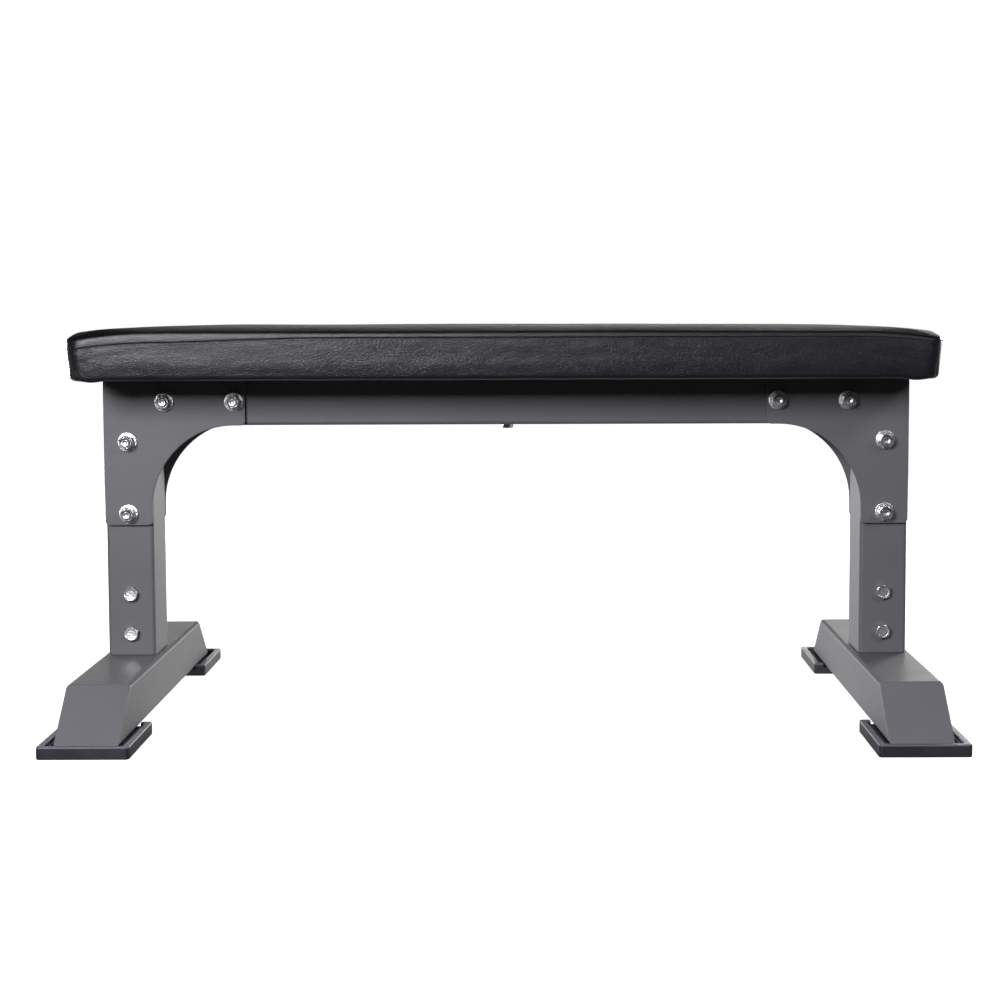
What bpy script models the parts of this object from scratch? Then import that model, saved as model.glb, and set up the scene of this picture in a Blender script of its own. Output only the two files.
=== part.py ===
"""Flat weight bench: a bolted steel frame under one padded board.

Metres, +Z up, +X along the bench, -Y towards its front.  The origin is on the floor,
under the middle of the bench.  A leg is an upright tube that slips over a stub on its
foot and carries one end of the beam, where two gusset plates hold the corner.
"""
from math import cos, hypot, pi, radians, sin, sqrt

import bmesh
import bpy

INCH = 0.0254
GAP = 0.0003                          # clearance kept between neighbouring solids

# Frame tubes: 2 by 3 inch, 3 mm wall
TUBE_NARROW = 2 * INCH
TUBE_WIDE = 3 * INCH
TUBE_WALL = 0.003
TUBE_RADIUS = 0.0040
FRAME_LENGTH = 0.8605                 # over the outer faces of the two uprights

# Rubber shoes, which the feet stand in
SHOE_FLOOR = 0.008
SHOE_HEIGHT = 0.0126
SHOE_WALL = 0.0066
SHOE_WIDTH = 0.0900
SHOE_INNER_END = 0.1731
SHOE_OUTER_END = 0.3023
SHOE_CORNER = 0.004
SHOE_EDGE = 0.0012
SHOE_BASE_EDGE = 0.0004
POCKET_CORNER = 0.002
NOTCH_GAP = 0.0020                    # beside the foot, where it passes the inner wall
NOTCH_RUN_OUT = 0.010                 # how far the notch's cut runs out of the inner end

# Feet: 2 by 2.5 inch tube with sloping ends
FOOT_WIDTH = 2.5 * INCH
FOOT_HEIGHT = 2 * INCH
FOOT_TOP_HALF = 0.2175                # half the length of the flat top
FOOT_BOTTOM_HALF = 0.2860
END_PLATE = 0.003
END_PLATE_EDGE = 0.0008
FOOT_BOTTOM = SHOE_FLOOR + GAP
FOOT_TOP = FOOT_BOTTOM + FOOT_HEIGHT

# Uprights, the stubs inside them, and the beam
UPRIGHT_X = (FRAME_LENGTH - TUBE_NARROW) / 2
UPRIGHT_BOTTOM = FOOT_TOP + GAP
BEAM_BOTTOM = 0.3073
BEAM_MIDDLE = BEAM_BOTTOM + TUBE_NARROW / 2
BEAM_TOP = BEAM_BOTTOM + TUBE_NARROW
STUB_LENGTH = 0.086
END_CAP_FLANGE = 0.0025
END_CAP_PLUG = 0.012
END_CAP_INSET = 0.0005                # how far the cap's rim stands inside the tube's outline
END_CAP_EDGE = 0.0012

# Gusset plates
GUSSET_THICK = 3 / 16 * INCH
GUSSET_ARM = 0.1518
GUSSET_BOTTOM = 0.2004
GUSSET_ARC = 3.5 * INCH
GUSSET_CORNER = 0.005
GUSSET_EDGE = 0.0006
GUSSET_FRONT = TUBE_WIDE / 2 + GAP    # inner face of a plate, from the middle plane

# Frame fasteners, 3/8 inch: distances from the crossing of the members' centre lines
BOLT_RADIUS = 0.375 * INCH / 2
BOLT_HOLE = BOLT_RADIUS + 0.0005
HEX_ACROSS = 9 / 16 * INCH
HEAD_HEIGHT = 0.0062
WASHER_RADIUS = 0.0104
WASHER_THICK = 0.0016
NUT_HEX_HEIGHT = 0.0082
NUT_COLLAR_HEIGHT = 0.0030
THREAD_PAST_NUT = 0.0022
BEAM_BOLTS = (0.0400, 0.1145)
UPRIGHT_BOLTS = (0.0428, 0.1200)
FOOT_BOLTS = (0.0240, 0.0669)         # heights above the foot

# Pad: vinyl cover over foam on a plywood board
PAD_LENGTH = 0.8930
PAD_WIDTH = 0.3000
PAD_BOTTOM = BEAM_TOP + GAP
PAD_FOLD = 0.0455                     # height where the sides turn into the top
PAD_CORNER = 0.018
PAD_LEAN = 0.0035                     # how far the sides draw in at the bottom
PAD_EDGE = 0.004                      # bevel between the sides and the underside
PAD_CROWN = ((0.000, PAD_FOLD), (0.001, 0.0472), (0.0035, 0.0488), (0.010, 0.0500),
             (0.030, 0.0517), (0.065, 0.0540), (0.110, 0.0555))
CORNER_SAG = 0.009                    # how far the pad's corners sink
SAG_REACH = 0.090
SAG_STEPS = ((0.008, 0.1), (0.022, 0.2), (0.042, 0.3), (0.070, 0.45))
COVER_THICK = 0.0015
COVER_FLANGE = 0.025                  # width of the cover that wraps under the board
FOAM_GAP = 0.0009                     # the sinking corners need more than GAP
BOARD_THICK = 0.015
BOARD_BOTTOM = PAD_BOTTOM + COVER_THICK + GAP
FOAM_BOTTOM = BOARD_BOTTOM + BOARD_THICK + GAP

# Pad fasteners, 5/16 inch, into tee nuts let into the top of the board
PAD_BOLT_X = (-0.335, 0.0, 0.335)
PAD_BOLT_RADIUS = 5 / 16 * INCH / 2
PAD_HEX_ACROSS = 0.5 * INCH
PAD_HEAD_HEIGHT = 0.0053
TEE_BARREL_RADIUS = 0.0052
TEE_FLANGE_RADIUS = 0.0100
TEE_FLANGE_THICK = 0.0015

# Shoe screws, driven up from a counterbore in the shoe's underside
SCREW_Y = 0.225
SCREW_RADIUS = 0.0024
SCREW_HEAD_RADIUS = 0.0045
SCREW_HEAD_THICK = 0.0028
SCREW_RECESS = 0.0045
SCREW_LENGTH = 0.0130

ROUND_SIDES = 12
CORNER_STEPS = 3


# ---------------------------------------------------------------- outlines

def rounded_rectangle(width, height, radius, steps=CORNER_STEPS):
    """Points of a rounded rectangle about the origin, anticlockwise."""
    points = []
    for sign_x, sign_y, start in ((1, 1, 0), (-1, 1, 90), (-1, -1, 180), (1, -1, 270)):
        for step in range(steps + 1):
            angle = radians(start + 90 * step / steps)
            points.append((sign_x * (width / 2 - radius) + radius * cos(angle),
                           sign_y * (height / 2 - radius) + radius * sin(angle)))
    return points


def circle(radius, sides=ROUND_SIDES):
    """Points of a circle about the origin."""
    return [(radius * cos(2 * pi * i / sides), radius * sin(2 * pi * i / sides))
            for i in range(sides)]


def hexagon(across):
    """Twelve points of a hexagon: its corners and the middles of its sides."""
    return [((across / sqrt(3) if i % 2 == 0 else across / 2) * cos(i * pi / 6),
             (across / sqrt(3) if i % 2 == 0 else across / 2) * sin(i * pi / 6))
            for i in range(ROUND_SIDES)]


def arc(centre_x, centre_y, radius, start, end, steps):
    """Points of an arc, its angles in degrees."""
    return [(centre_x + radius * cos(radians(start + (end - start) * i / steps)),
             centre_y + radius * sin(radians(start + (end - start) * i / steps)))
            for i in range(steps + 1)]


def level(points, height):
    """The outline's points at one height."""
    return [(x, y, height) for x, y in points]


# ---------------------------------------------------------------- solids

def clear_scene():
    """Remove everything that the scene holds."""
    for thing in list(bpy.data.objects):
        bpy.data.objects.remove(thing, do_unlink=True)


def make_material(name, colour, roughness, metallic=0.0):
    """A plain Principled material."""
    material = bpy.data.materials.new(name)
    material.use_nodes = True
    shader = material.node_tree.nodes["Principled BSDF"]
    shader.inputs["Base Color"].default_value = (*colour, 1.0)
    shader.inputs["Roughness"].default_value = roughness
    shader.inputs["Metallic"].default_value = metallic
    return material


def make_mesh(name, loops, ring=False):
    """Skin a run of loops that have the same number of points.

    A plain run is capped at both ends.  A ring joins its last loop to its first.
    """
    shape = bmesh.new()
    rows = [[shape.verts.new(point) for point in loop] for loop in loops]
    pairs = list(zip(rows, rows[1:]))
    if ring:
        pairs.append((rows[-1], rows[0]))
    else:
        shape.faces.new(rows[0])
        shape.faces.new(rows[-1])
    for lower, upper in pairs:
        count = len(lower)
        for i in range(count):
            shape.faces.new((lower[i], lower[(i + 1) % count],
                             upper[(i + 1) % count], upper[i]))
    bmesh.ops.recalc_face_normals(shape, faces=shape.faces)
    mesh = bpy.data.meshes.new(name)
    shape.to_mesh(mesh)
    shape.free()
    mesh.shade_smooth()
    mesh.set_sharp_from_angle(angle=radians(32))
    return mesh


def add_object(name, mesh, material, parent, location=(0, 0, 0), rotation=(0, 0, 0)):
    """Place a mesh as a named object with its own material."""
    if not mesh.materials:
        mesh.materials.append(material)
    thing = bpy.data.objects.new(name, mesh)
    thing.location = location
    thing.rotation_euler = rotation
    thing.parent = parent
    bpy.context.collection.objects.link(thing)
    return thing


def add_empty(name, parent=None, location=(0, 0, 0)):
    """An empty that carries one group of pieces."""
    empty = bpy.data.objects.new(name, None)
    empty.location = location
    empty.parent = parent
    bpy.context.collection.objects.link(empty)
    return empty


def tube_loops(width, height, wall, radius, start, end):
    """Loops of a hollow rounded tube along Z."""
    outer = rounded_rectangle(width, height, radius)
    inner = rounded_rectangle(width - 2 * wall, height - 2 * wall, radius - wall)
    return [level(outer, start), level(outer, end), level(inner, end), level(inner, start)]


def drill(target, name, holes, rotation=(0, 0, 0)):
    """Cut round holes, given as (location, radius, length), centred on their location."""
    for number, (location, radius, length) in enumerate(holes):
        loops = [level(circle(radius), -length / 2), level(circle(radius), length / 2)]
        cutter = bpy.data.objects.new(f"{name}_cutter_{number}", make_mesh(name, loops))
        cutter.location = location
        cutter.rotation_euler = rotation
        cutter.parent = target.parent
        cutter.hide_render = True
        cutter.display_type = "WIRE"
        bpy.context.collection.objects.link(cutter)
        cut = target.modifiers.new(f"hole_{number}", "BOOLEAN")
        cut.operation = "DIFFERENCE"
        cut.object = cutter


# ---------------------------------------------------------------- fasteners

def bolt_mesh(name, radius, across, head, grip):
    """Hex bolt along +Z: the head hangs below zero, the shank runs up to grip."""
    chamfer = across * 0.06
    loops = [level(circle(across * 0.46), -head),
             level(hexagon(across), -head + chamfer),
             level(hexagon(across), 0),
             level(circle(radius), 0),
             level(circle(radius), grip - radius * 0.25),
             level(circle(radius * 0.78), grip)]
    return make_mesh(name, loops)


def washer_head_bolt_mesh(name, grip):
    """Hex bolt along +Z with its washer, which lies just below zero."""
    head = HEAD_HEIGHT + WASHER_THICK
    chamfer = HEX_ACROSS * 0.06
    loops = [level(circle(HEX_ACROSS * 0.46), -head),
             level(hexagon(HEX_ACROSS), -head + chamfer),
             level(hexagon(HEX_ACROSS), -WASHER_THICK),
             level(circle(WASHER_RADIUS), -WASHER_THICK),
             level(circle(WASHER_RADIUS), 0),
             level(circle(BOLT_RADIUS), 0),
             level(circle(BOLT_RADIUS), grip - BOLT_RADIUS * 0.25),
             level(circle(BOLT_RADIUS * 0.78), grip)]
    return make_mesh(name, loops)


def nut_mesh(name):
    """Locknut along +Z from zero: washer, hexagon and round nylon collar."""
    bore = circle(BOLT_RADIUS + GAP)
    hex_top = WASHER_THICK + NUT_HEX_HEIGHT
    collar_top = hex_top + NUT_COLLAR_HEIGHT
    collar = HEX_ACROSS * 0.44
    loops = [level(circle(WASHER_RADIUS), 0),
             level(circle(WASHER_RADIUS), WASHER_THICK),
             level(hexagon(HEX_ACROSS), WASHER_THICK),
             level(hexagon(HEX_ACROSS), hex_top - 0.0008),
             level(circle(collar), hex_top),
             level(circle(collar), collar_top - 0.0008),
             level(circle(collar - 0.0010), collar_top),
             level(bore, collar_top),
             level(bore, 0)]
    return make_mesh(name, loops, ring=True)


def add_gusset_fasteners(parent, side_name, side, steel, nut_steel):
    """Four bolts through each corner: heads behind, locknuts in front."""
    reach = GUSSET_FRONT + GUSSET_THICK + GAP
    grip = 2 * reach + WASHER_THICK + NUT_HEX_HEIGHT + NUT_COLLAR_HEIGHT + THREAD_PAST_NUT
    bolt = washer_head_bolt_mesh("gusset_bolt", grip)
    nut = nut_mesh("gusset_nut")
    places = [("beam", -side * away, BEAM_MIDDLE) for away in BEAM_BOLTS]
    places += [("upright", 0.0, BEAM_MIDDLE - drop) for drop in UPRIGHT_BOLTS]
    for number, (member, x, z) in enumerate(places):
        label = f"{side_name}_{member}"
        order = number % 2 + 1
        add_object(f"{label}_bolt_{order}", bolt, steel, parent, (x, reach, z), (pi / 2, 0, 0))
        add_object(f"{label}_nut_{order}", nut, nut_steel, parent, (x, -reach, z), (pi / 2, 0, 0))


def add_foot_fasteners(parent, side_name, steel, nut_steel):
    """Two bolts through the upright and its stub: heads in front, locknuts behind."""
    reach = TUBE_WIDE / 2 + GAP
    grip = 2 * reach + WASHER_THICK + NUT_HEX_HEIGHT + NUT_COLLAR_HEIGHT + THREAD_PAST_NUT
    bolt = bolt_mesh("foot_bolt", BOLT_RADIUS, HEX_ACROSS, HEAD_HEIGHT, grip)
    nut = nut_mesh("foot_nut")
    for order, height in enumerate(FOOT_BOLTS, start=1):
        z = FOOT_TOP + height
        add_object(f"{side_name}_foot_bolt_{order}", bolt, steel, parent,
                   (0, -reach, z), (-pi / 2, 0, 0))
        add_object(f"{side_name}_foot_nut_{order}", nut, nut_steel, parent,
                   (0, reach, z), (-pi / 2, 0, 0))


# ---------------------------------------------------------------- frame

def add_upright(parent, side_name, coat):
    """Upright tube from the foot to the underside of the beam."""
    loops = tube_loops(TUBE_NARROW, TUBE_WIDE, TUBE_WALL, TUBE_RADIUS,
                       UPRIGHT_BOTTOM, BEAM_BOTTOM - GAP)
    name = f"{side_name}_upright"
    upright = add_object(name, make_mesh(name, loops), coat, parent)
    heights = [BEAM_MIDDLE - drop for drop in UPRIGHT_BOLTS]
    heights += [FOOT_TOP + height for height in FOOT_BOLTS]
    drill(upright, name, [((0, 0, z), BOLT_HOLE, 2 * TUBE_WIDE) for z in heights], (pi / 2, 0, 0))


def add_foot_stub(parent, side_name, coat):
    """Short tube welded to the foot, which the upright slips over."""
    slip = 2 * (TUBE_WALL + GAP)
    loops = tube_loops(TUBE_NARROW - slip, TUBE_WIDE - slip, TUBE_WALL, TUBE_WALL + 0.0010,
                       FOOT_TOP + GAP, FOOT_TOP + STUB_LENGTH)
    name = f"{side_name}_foot_stub"
    stub = add_object(name, make_mesh(name, loops), coat, parent)
    heights = [FOOT_TOP + height for height in FOOT_BOLTS]
    drill(stub, name, [((0, 0, z), BOLT_HOLE, 2 * TUBE_WIDE) for z in heights], (pi / 2, 0, 0))


def foot_slope():
    """How far the foot's sloping end moves outwards for each metre down."""
    return (FOOT_BOTTOM_HALF - FOOT_TOP_HALF) / FOOT_HEIGHT


def foot_loop(outline, end, back):
    """An outline on the sloping end plane, set back along Y; end is -1 or 1."""
    middle = (FOOT_BOTTOM + FOOT_TOP) / 2
    loop = []
    for x, z in outline:
        reach = (FOOT_BOTTOM_HALF + FOOT_TOP_HALF) / 2 - z * foot_slope() - back
        loop.append((x, end * reach, middle + z))
    return loop


def add_foot(parent, side_name, coat):
    """Foot tube along Y and the plates that close its sloping ends."""
    along = hypot(1, foot_slope())          # Y distance for each metre of plate thickness
    outer = rounded_rectangle(FOOT_WIDTH, FOOT_HEIGHT, TUBE_RADIUS)
    inner = rounded_rectangle(FOOT_WIDTH - 2 * TUBE_WALL, FOOT_HEIGHT - 2 * TUBE_WALL,
                              TUBE_RADIUS - TUBE_WALL)
    back = (END_PLATE + GAP) * along
    name = f"{side_name}_foot"
    loops = [foot_loop(outer, -1, back), foot_loop(outer, 1, back),
             foot_loop(inner, 1, back), foot_loop(inner, -1, back)]
    foot = add_object(name, make_mesh(name, loops, ring=True), coat, parent)
    drill(foot, name, [((0, end * SCREW_Y, FOOT_BOTTOM), SCREW_RADIUS + GAP, 3 * TUBE_WALL)
                       for end in (-1, 1)])
    inset = rounded_rectangle(FOOT_WIDTH - 2 * END_PLATE_EDGE, FOOT_HEIGHT - 2 * END_PLATE_EDGE,
                              TUBE_RADIUS - END_PLATE_EDGE)
    for end_name, end in (("front", -1), ("rear", 1)):
        plate_name = f"{side_name}_{end_name}_end_plate"
        loops = [foot_loop(outer, end, END_PLATE * along),
                 foot_loop(outer, end, END_PLATE_EDGE * along),
                 foot_loop(inset, end, 0)]
        add_object(plate_name, make_mesh(plate_name, loops), coat, parent)


def gusset_outline(side, inset):
    """Outline of an L plate in X and Z, seen from the front, drawn in by inset."""
    outside = TUBE_NARROW / 2 - inset
    inside = -TUBE_NARROW / 2 + inset
    top = BEAM_TOP - inset
    under = BEAM_BOTTOM + inset
    arm_end = TUBE_NARROW / 2 - GUSSET_ARM + inset
    bottom = GUSSET_BOTTOM + inset
    corner = GUSSET_CORNER - inset
    sweep = GUSSET_ARC + inset
    points = arc(outside - corner, top - corner, corner, 0, 90, 2)
    points += arc(arm_end + corner, top - corner, corner, 90, 180, 2)
    points += arc(arm_end + corner, under + corner, corner, 180, 270, 2)
    points += arc(inside - sweep, under - sweep, sweep, 90, 0, 12)
    points += arc(inside + corner, bottom + corner, corner, 180, 270, 2)
    points += arc(outside - corner, bottom + corner, corner, 270, 360, 2)
    return [(side * x, z) for x, z in points]


def add_gusset(parent, side_name, side, face_name, face, coat):
    """One L plate on the front (-1) or rear (+1) face of a corner."""
    near = face * GUSSET_FRONT
    far = face * (GUSSET_FRONT + GUSSET_THICK)
    steps = ((near, GUSSET_EDGE), (near + face * GUSSET_EDGE, 0),
             (far - face * GUSSET_EDGE, 0), (far, GUSSET_EDGE))
    loops = [[(x, y, z) for x, z in gusset_outline(side, inset)] for y, inset in steps]
    name = f"{side_name}_{face_name}_gusset"
    plate = add_object(name, make_mesh(name, loops), coat, parent)
    middle = (near + far) / 2
    places = [(-side * away, middle, BEAM_MIDDLE) for away in BEAM_BOLTS]
    places += [(0, middle, BEAM_MIDDLE - drop) for drop in UPRIGHT_BOLTS]
    drill(plate, name, [(place, BOLT_HOLE, 3 * GUSSET_THICK) for place in places], (pi / 2, 0, 0))


def add_beam(parent, coat, plastic):
    """The long tube over both uprights, and the plugs in its ends."""
    length = FRAME_LENGTH - 2 * (END_CAP_FLANGE + GAP)
    outline = rounded_rectangle(TUBE_WIDE, TUBE_NARROW, TUBE_RADIUS)
    bore = rounded_rectangle(TUBE_WIDE - 2 * TUBE_WALL, TUBE_NARROW - 2 * TUBE_WALL,
                             TUBE_RADIUS - TUBE_WALL)
    loops = [[(end * length / 2, y, BEAM_MIDDLE + z) for y, z in points]
             for points, end in ((outline, -1), (outline, 1), (bore, 1), (bore, -1))]
    beam = add_object("main_beam", make_mesh("main_beam", loops, ring=True), coat, parent)
    across = [((side * (UPRIGHT_X - away), 0, BEAM_MIDDLE), BOLT_HOLE, 2 * TUBE_WIDE)
              for side in (-1, 1) for away in BEAM_BOLTS]
    drill(beam, "beam_across", across, (pi / 2, 0, 0))
    drill(beam, "beam_down", [((x, 0, BEAM_MIDDLE), PAD_BOLT_RADIUS + 0.0005, 2 * TUBE_NARROW)
                              for x in PAD_BOLT_X])
    plug, rim, face = (rounded_rectangle(TUBE_WIDE - 2 * inset, TUBE_NARROW - 2 * inset,
                                         TUBE_RADIUS - inset)
                       for inset in (TUBE_WALL + GAP, END_CAP_INSET,
                                     END_CAP_INSET + END_CAP_EDGE))
    outside = FRAME_LENGTH / 2
    root = outside - END_CAP_FLANGE
    for side_name, side in (("left", -1), ("right", 1)):
        name = f"{side_name}_beam_cap"
        loops = [[(side * x, y, BEAM_MIDDLE + z) for y, z in points] for x, points in
                 ((root - END_CAP_PLUG, plug), (root, plug), (root, rim),
                  (outside - END_CAP_EDGE, rim), (outside, face))]
        add_object(name, make_mesh(name, loops), plastic, parent)


def pocket_outline(end):
    """Plan of a shoe's pocket, walled all round but for a notch where the foot comes in."""
    wide = SHOE_WIDTH / 2 - SHOE_WALL - POCKET_CORNER
    outer = SHOE_OUTER_END - SHOE_WALL - POCKET_CORNER
    inner = SHOE_INNER_END + SHOE_WALL + POCKET_CORNER
    notch = FOOT_WIDTH / 2 + NOTCH_GAP
    wall_face = SHOE_INNER_END + SHOE_WALL
    beyond = SHOE_INNER_END - NOTCH_RUN_OUT
    points = arc(wide, outer, POCKET_CORNER, 0, 90, 2)
    points += arc(-wide, outer, POCKET_CORNER, 90, 180, 2)
    points += arc(-wide, inner, POCKET_CORNER, 180, 270, 2)
    points += [(-notch, wall_face), (-notch, beyond), (notch, beyond), (notch, wall_face)]
    points += arc(wide, inner, POCKET_CORNER, 270, 360, 2)
    return [(x, end * y) for x, y in points]


def add_shoe(parent, side_name, end_name, end, rubber, steel):
    """Rubber tray under one end of a foot, notched for the foot's tube, and its screw."""
    length = SHOE_OUTER_END - SHOE_INNER_END
    middle = end * (SHOE_OUTER_END + SHOE_INNER_END) / 2
    full = rounded_rectangle(SHOE_WIDTH, length, SHOE_CORNER)
    drawn = rounded_rectangle(SHOE_WIDTH - 2 * SHOE_EDGE, length - 2 * SHOE_EDGE,
                              SHOE_CORNER - SHOE_EDGE)
    base = rounded_rectangle(SHOE_WIDTH - 2 * SHOE_BASE_EDGE, length - 2 * SHOE_BASE_EDGE,
                             SHOE_CORNER - SHOE_BASE_EDGE)
    loops = [level(base, 0), level(full, SHOE_BASE_EDGE), level(full, SHOE_HEIGHT - SHOE_EDGE),
             level(drawn, SHOE_HEIGHT)]
    name = f"{side_name}_{end_name}_shoe"
    shoe = add_object(name, make_mesh(name, loops), rubber, parent, (0, middle, 0))

    outline = pocket_outline(end)
    pocket_mesh = make_mesh("pocket", [level(outline, SHOE_FLOOR),
                                       level(outline, 2 * SHOE_HEIGHT)])
    pocket = bpy.data.objects.new(f"{name}_pocket", pocket_mesh)
    pocket.parent = parent
    pocket.hide_render = True
    pocket.display_type = "WIRE"
    bpy.context.collection.objects.link(pocket)
    cut = shoe.modifiers.new("pocket", "BOOLEAN")
    cut.operation = "DIFFERENCE"
    cut.object = pocket

    place = (0, end * SCREW_Y, 0)
    drill(shoe, name, [(place, SCREW_RADIUS + GAP, 4 * SHOE_HEIGHT),
                       (place, SCREW_HEAD_RADIUS + GAP, 2 * SCREW_RECESS)])
    head_bottom = SCREW_RECESS - GAP - SCREW_HEAD_THICK
    loops = [level(circle(SCREW_HEAD_RADIUS * 0.8), 0),
             level(circle(SCREW_HEAD_RADIUS), SCREW_HEAD_THICK * 0.5),
             level(circle(SCREW_HEAD_RADIUS), SCREW_HEAD_THICK),
             level(circle(SCREW_RADIUS), SCREW_HEAD_THICK),
             level(circle(SCREW_RADIUS), SCREW_LENGTH - 0.003),
             level(circle(SCREW_RADIUS * 0.3), SCREW_LENGTH)]
    screw_name = f"{side_name}_{end_name}_shoe_screw"
    add_object(screw_name, make_mesh(screw_name, loops), steel, parent,
               (0, end * SCREW_Y, head_bottom))


def add_leg(bench, side_name, side, materials):
    """Everything at one end of the bench below the beam, and the corner's plates."""
    leg = add_empty(f"{side_name}_leg", bench, (side * UPRIGHT_X, 0, 0))
    coat = materials["coat"]
    add_upright(leg, side_name, coat)
    add_foot_stub(leg, side_name, coat)
    add_foot(leg, side_name, coat)
    for face_name, face in (("front", -1), ("rear", 1)):
        add_gusset(leg, side_name, side, face_name, face, coat)
        add_shoe(leg, side_name, face_name, face, materials["rubber"], materials["zinc"])
    add_gusset_fasteners(leg, side_name, side, materials["zinc"], materials["bright"])
    add_foot_fasteners(leg, side_name, materials["zinc"], materials["bright"])


# ---------------------------------------------------------------- pad

def pad_outline(inset):
    """The pad's plan outline, drawn in by inset, with extra points beside its corners.

    Each extra point is a distance from the corner, but no more than a share of the edge.
    """
    radius = max(PAD_CORNER - inset, 0.004)
    corners = rounded_rectangle(PAD_LENGTH - 2 * inset, PAD_WIDTH - 2 * inset, radius, 4)
    points = []
    for (x, y), (next_x, next_y) in zip(corners, corners[1:] + corners[:1]):
        points.append((x, y))
        run = hypot(next_x - x, next_y - y)
        if run > PAD_CORNER:
            shares = [min(step / run, share) for step, share in SAG_STEPS]
            shares += [1 - share for share in reversed(shares)]
            points += [(x + (next_x - x) * share, y + (next_y - y) * share)
                       for share in shares]
    return points


def sag(x, y):
    """How far the pad's top sinks at a place towards a corner."""
    away = PAD_LENGTH / 2 - abs(x) + PAD_WIDTH / 2 - abs(y)
    return CORNER_SAG * max(0, 1 - away / SAG_REACH) ** 2


def crown_loops(skin):
    """Loops over the pad's top, from its middle outwards, skin below the surface."""
    return [[(x, y, PAD_BOTTOM + height - skin - sag(*surface_place)) for (x, y), surface_place
             in zip(pad_outline(inset + skin), pad_outline(inset))]
            for inset, height in reversed(PAD_CROWN)]


def add_pad(bench, materials):
    """Vinyl cover open below, the foam block, the board, its bolts and tee nuts."""
    pad = add_empty("pad", bench)
    skin = COVER_THICK
    side = PAD_LEAN / 2
    loops = crown_loops(0.0)
    loops += [level(pad_outline(side), PAD_BOTTOM + PAD_FOLD / 2),
              level(pad_outline(PAD_LEAN), PAD_BOTTOM + PAD_EDGE),
              level(pad_outline(PAD_LEAN + PAD_EDGE), PAD_BOTTOM),
              level(pad_outline(PAD_LEAN + COVER_FLANGE), PAD_BOTTOM),
              level(pad_outline(PAD_LEAN + COVER_FLANGE), PAD_BOTTOM + skin),
              level(pad_outline(PAD_LEAN + PAD_EDGE), PAD_BOTTOM + skin),
              level(pad_outline(PAD_LEAN + skin), PAD_BOTTOM + PAD_EDGE),
              level(pad_outline(side + skin), PAD_BOTTOM + PAD_FOLD / 2)]
    loops += reversed(crown_loops(skin))
    add_object("pad_cover", make_mesh("pad_cover", loops), materials["vinyl"], pad)

    inner = skin + FOAM_GAP
    loops = crown_loops(inner)
    loops.append(level(pad_outline(side + inner), FOAM_BOTTOM + PAD_EDGE))
    loops.append(level(pad_outline(side + inner + PAD_EDGE), FOAM_BOTTOM))
    add_object("pad_foam", make_mesh("pad_foam", loops), materials["foam"], pad)

    board_edge = PAD_LEAN + PAD_EDGE + GAP
    loops = [level(pad_outline(board_edge), BOARD_BOTTOM),
             level(pad_outline(board_edge), BOARD_BOTTOM + BOARD_THICK)]
    board = add_object("pad_board", make_mesh("pad_board", loops), materials["wood"], pad)
    board_top = BOARD_BOTTOM + BOARD_THICK
    recess = 2 * (TEE_FLANGE_THICK + GAP)
    drill(board, "board", [((x, 0, board_top), radius, length) for x in PAD_BOLT_X
                           for radius, length in ((TEE_BARREL_RADIUS + GAP, 4 * BOARD_THICK),
                                                  (TEE_FLANGE_RADIUS + GAP, recess))])

    tee_top = board_top - GAP / 2
    flange = tee_top - TEE_FLANGE_THICK
    tee_bottom = BOARD_BOTTOM + GAP
    bore = circle(PAD_BOLT_RADIUS + GAP)
    loops = [level(circle(TEE_BARREL_RADIUS), tee_bottom),
             level(circle(TEE_BARREL_RADIUS), flange),
             level(circle(TEE_FLANGE_RADIUS), flange),
             level(circle(TEE_FLANGE_RADIUS), tee_top),
             level(bore, tee_top),
             level(bore, tee_bottom)]
    tee = make_mesh("tee_nut", loops, ring=True)
    head_top = BEAM_BOTTOM - GAP
    bolt = bolt_mesh("pad_bolt", PAD_BOLT_RADIUS, PAD_HEX_ACROSS, PAD_HEAD_HEIGHT,
                     tee_top - GAP - head_top)
    for place, x in zip(("left", "middle", "right"), PAD_BOLT_X):
        add_object(f"{place}_tee_nut", tee, materials["zinc"], pad, (x, 0, 0))
        add_object(f"{place}_pad_bolt", bolt, materials["zinc"], pad, (x, 0, head_top))


# ---------------------------------------------------------------- bench

def build_bench():
    """The whole bench, in its own frame."""
    clear_scene()
    materials = {
        "coat": make_material("grey_powder_coat", (0.115, 0.115, 0.125), 0.42, 0.2),
        "rubber": make_material("black_rubber", (0.030, 0.030, 0.034), 0.62),
        "plastic": make_material("black_plastic", (0.020, 0.020, 0.021), 0.45),
        "vinyl": make_material("black_vinyl", (0.028, 0.028, 0.031), 0.45),
        "foam": make_material("foam", (0.55, 0.50, 0.38), 0.95),
        "wood": make_material("plywood", (0.45, 0.30, 0.16), 0.75),
        "zinc": make_material("zinc_steel", (0.62, 0.63, 0.65), 0.30, 1.0),
        "bright": make_material("bright_locknut", (0.72, 0.73, 0.75), 0.22, 1.0),
    }
    bench = add_empty("bench")
    for side_name, side in (("left", -1), ("right", 1)):
        add_leg(bench, side_name, side, materials)
    add_beam(bench, materials["coat"], materials["plastic"])
    add_pad(bench, materials)


build_bench()
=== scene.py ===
"""The looks of a flat weight bench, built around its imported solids.

Metres, +Z up, +X along the bench, -Y towards its front.  Each piece takes its place from the
solid that it stands for.
"""

from itertools import product
from math import cos, pi, radians, sin, sqrt

import bmesh
import bpy
import numpy as np
from mathutils import Matrix, Vector, kdtree, noise


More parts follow.
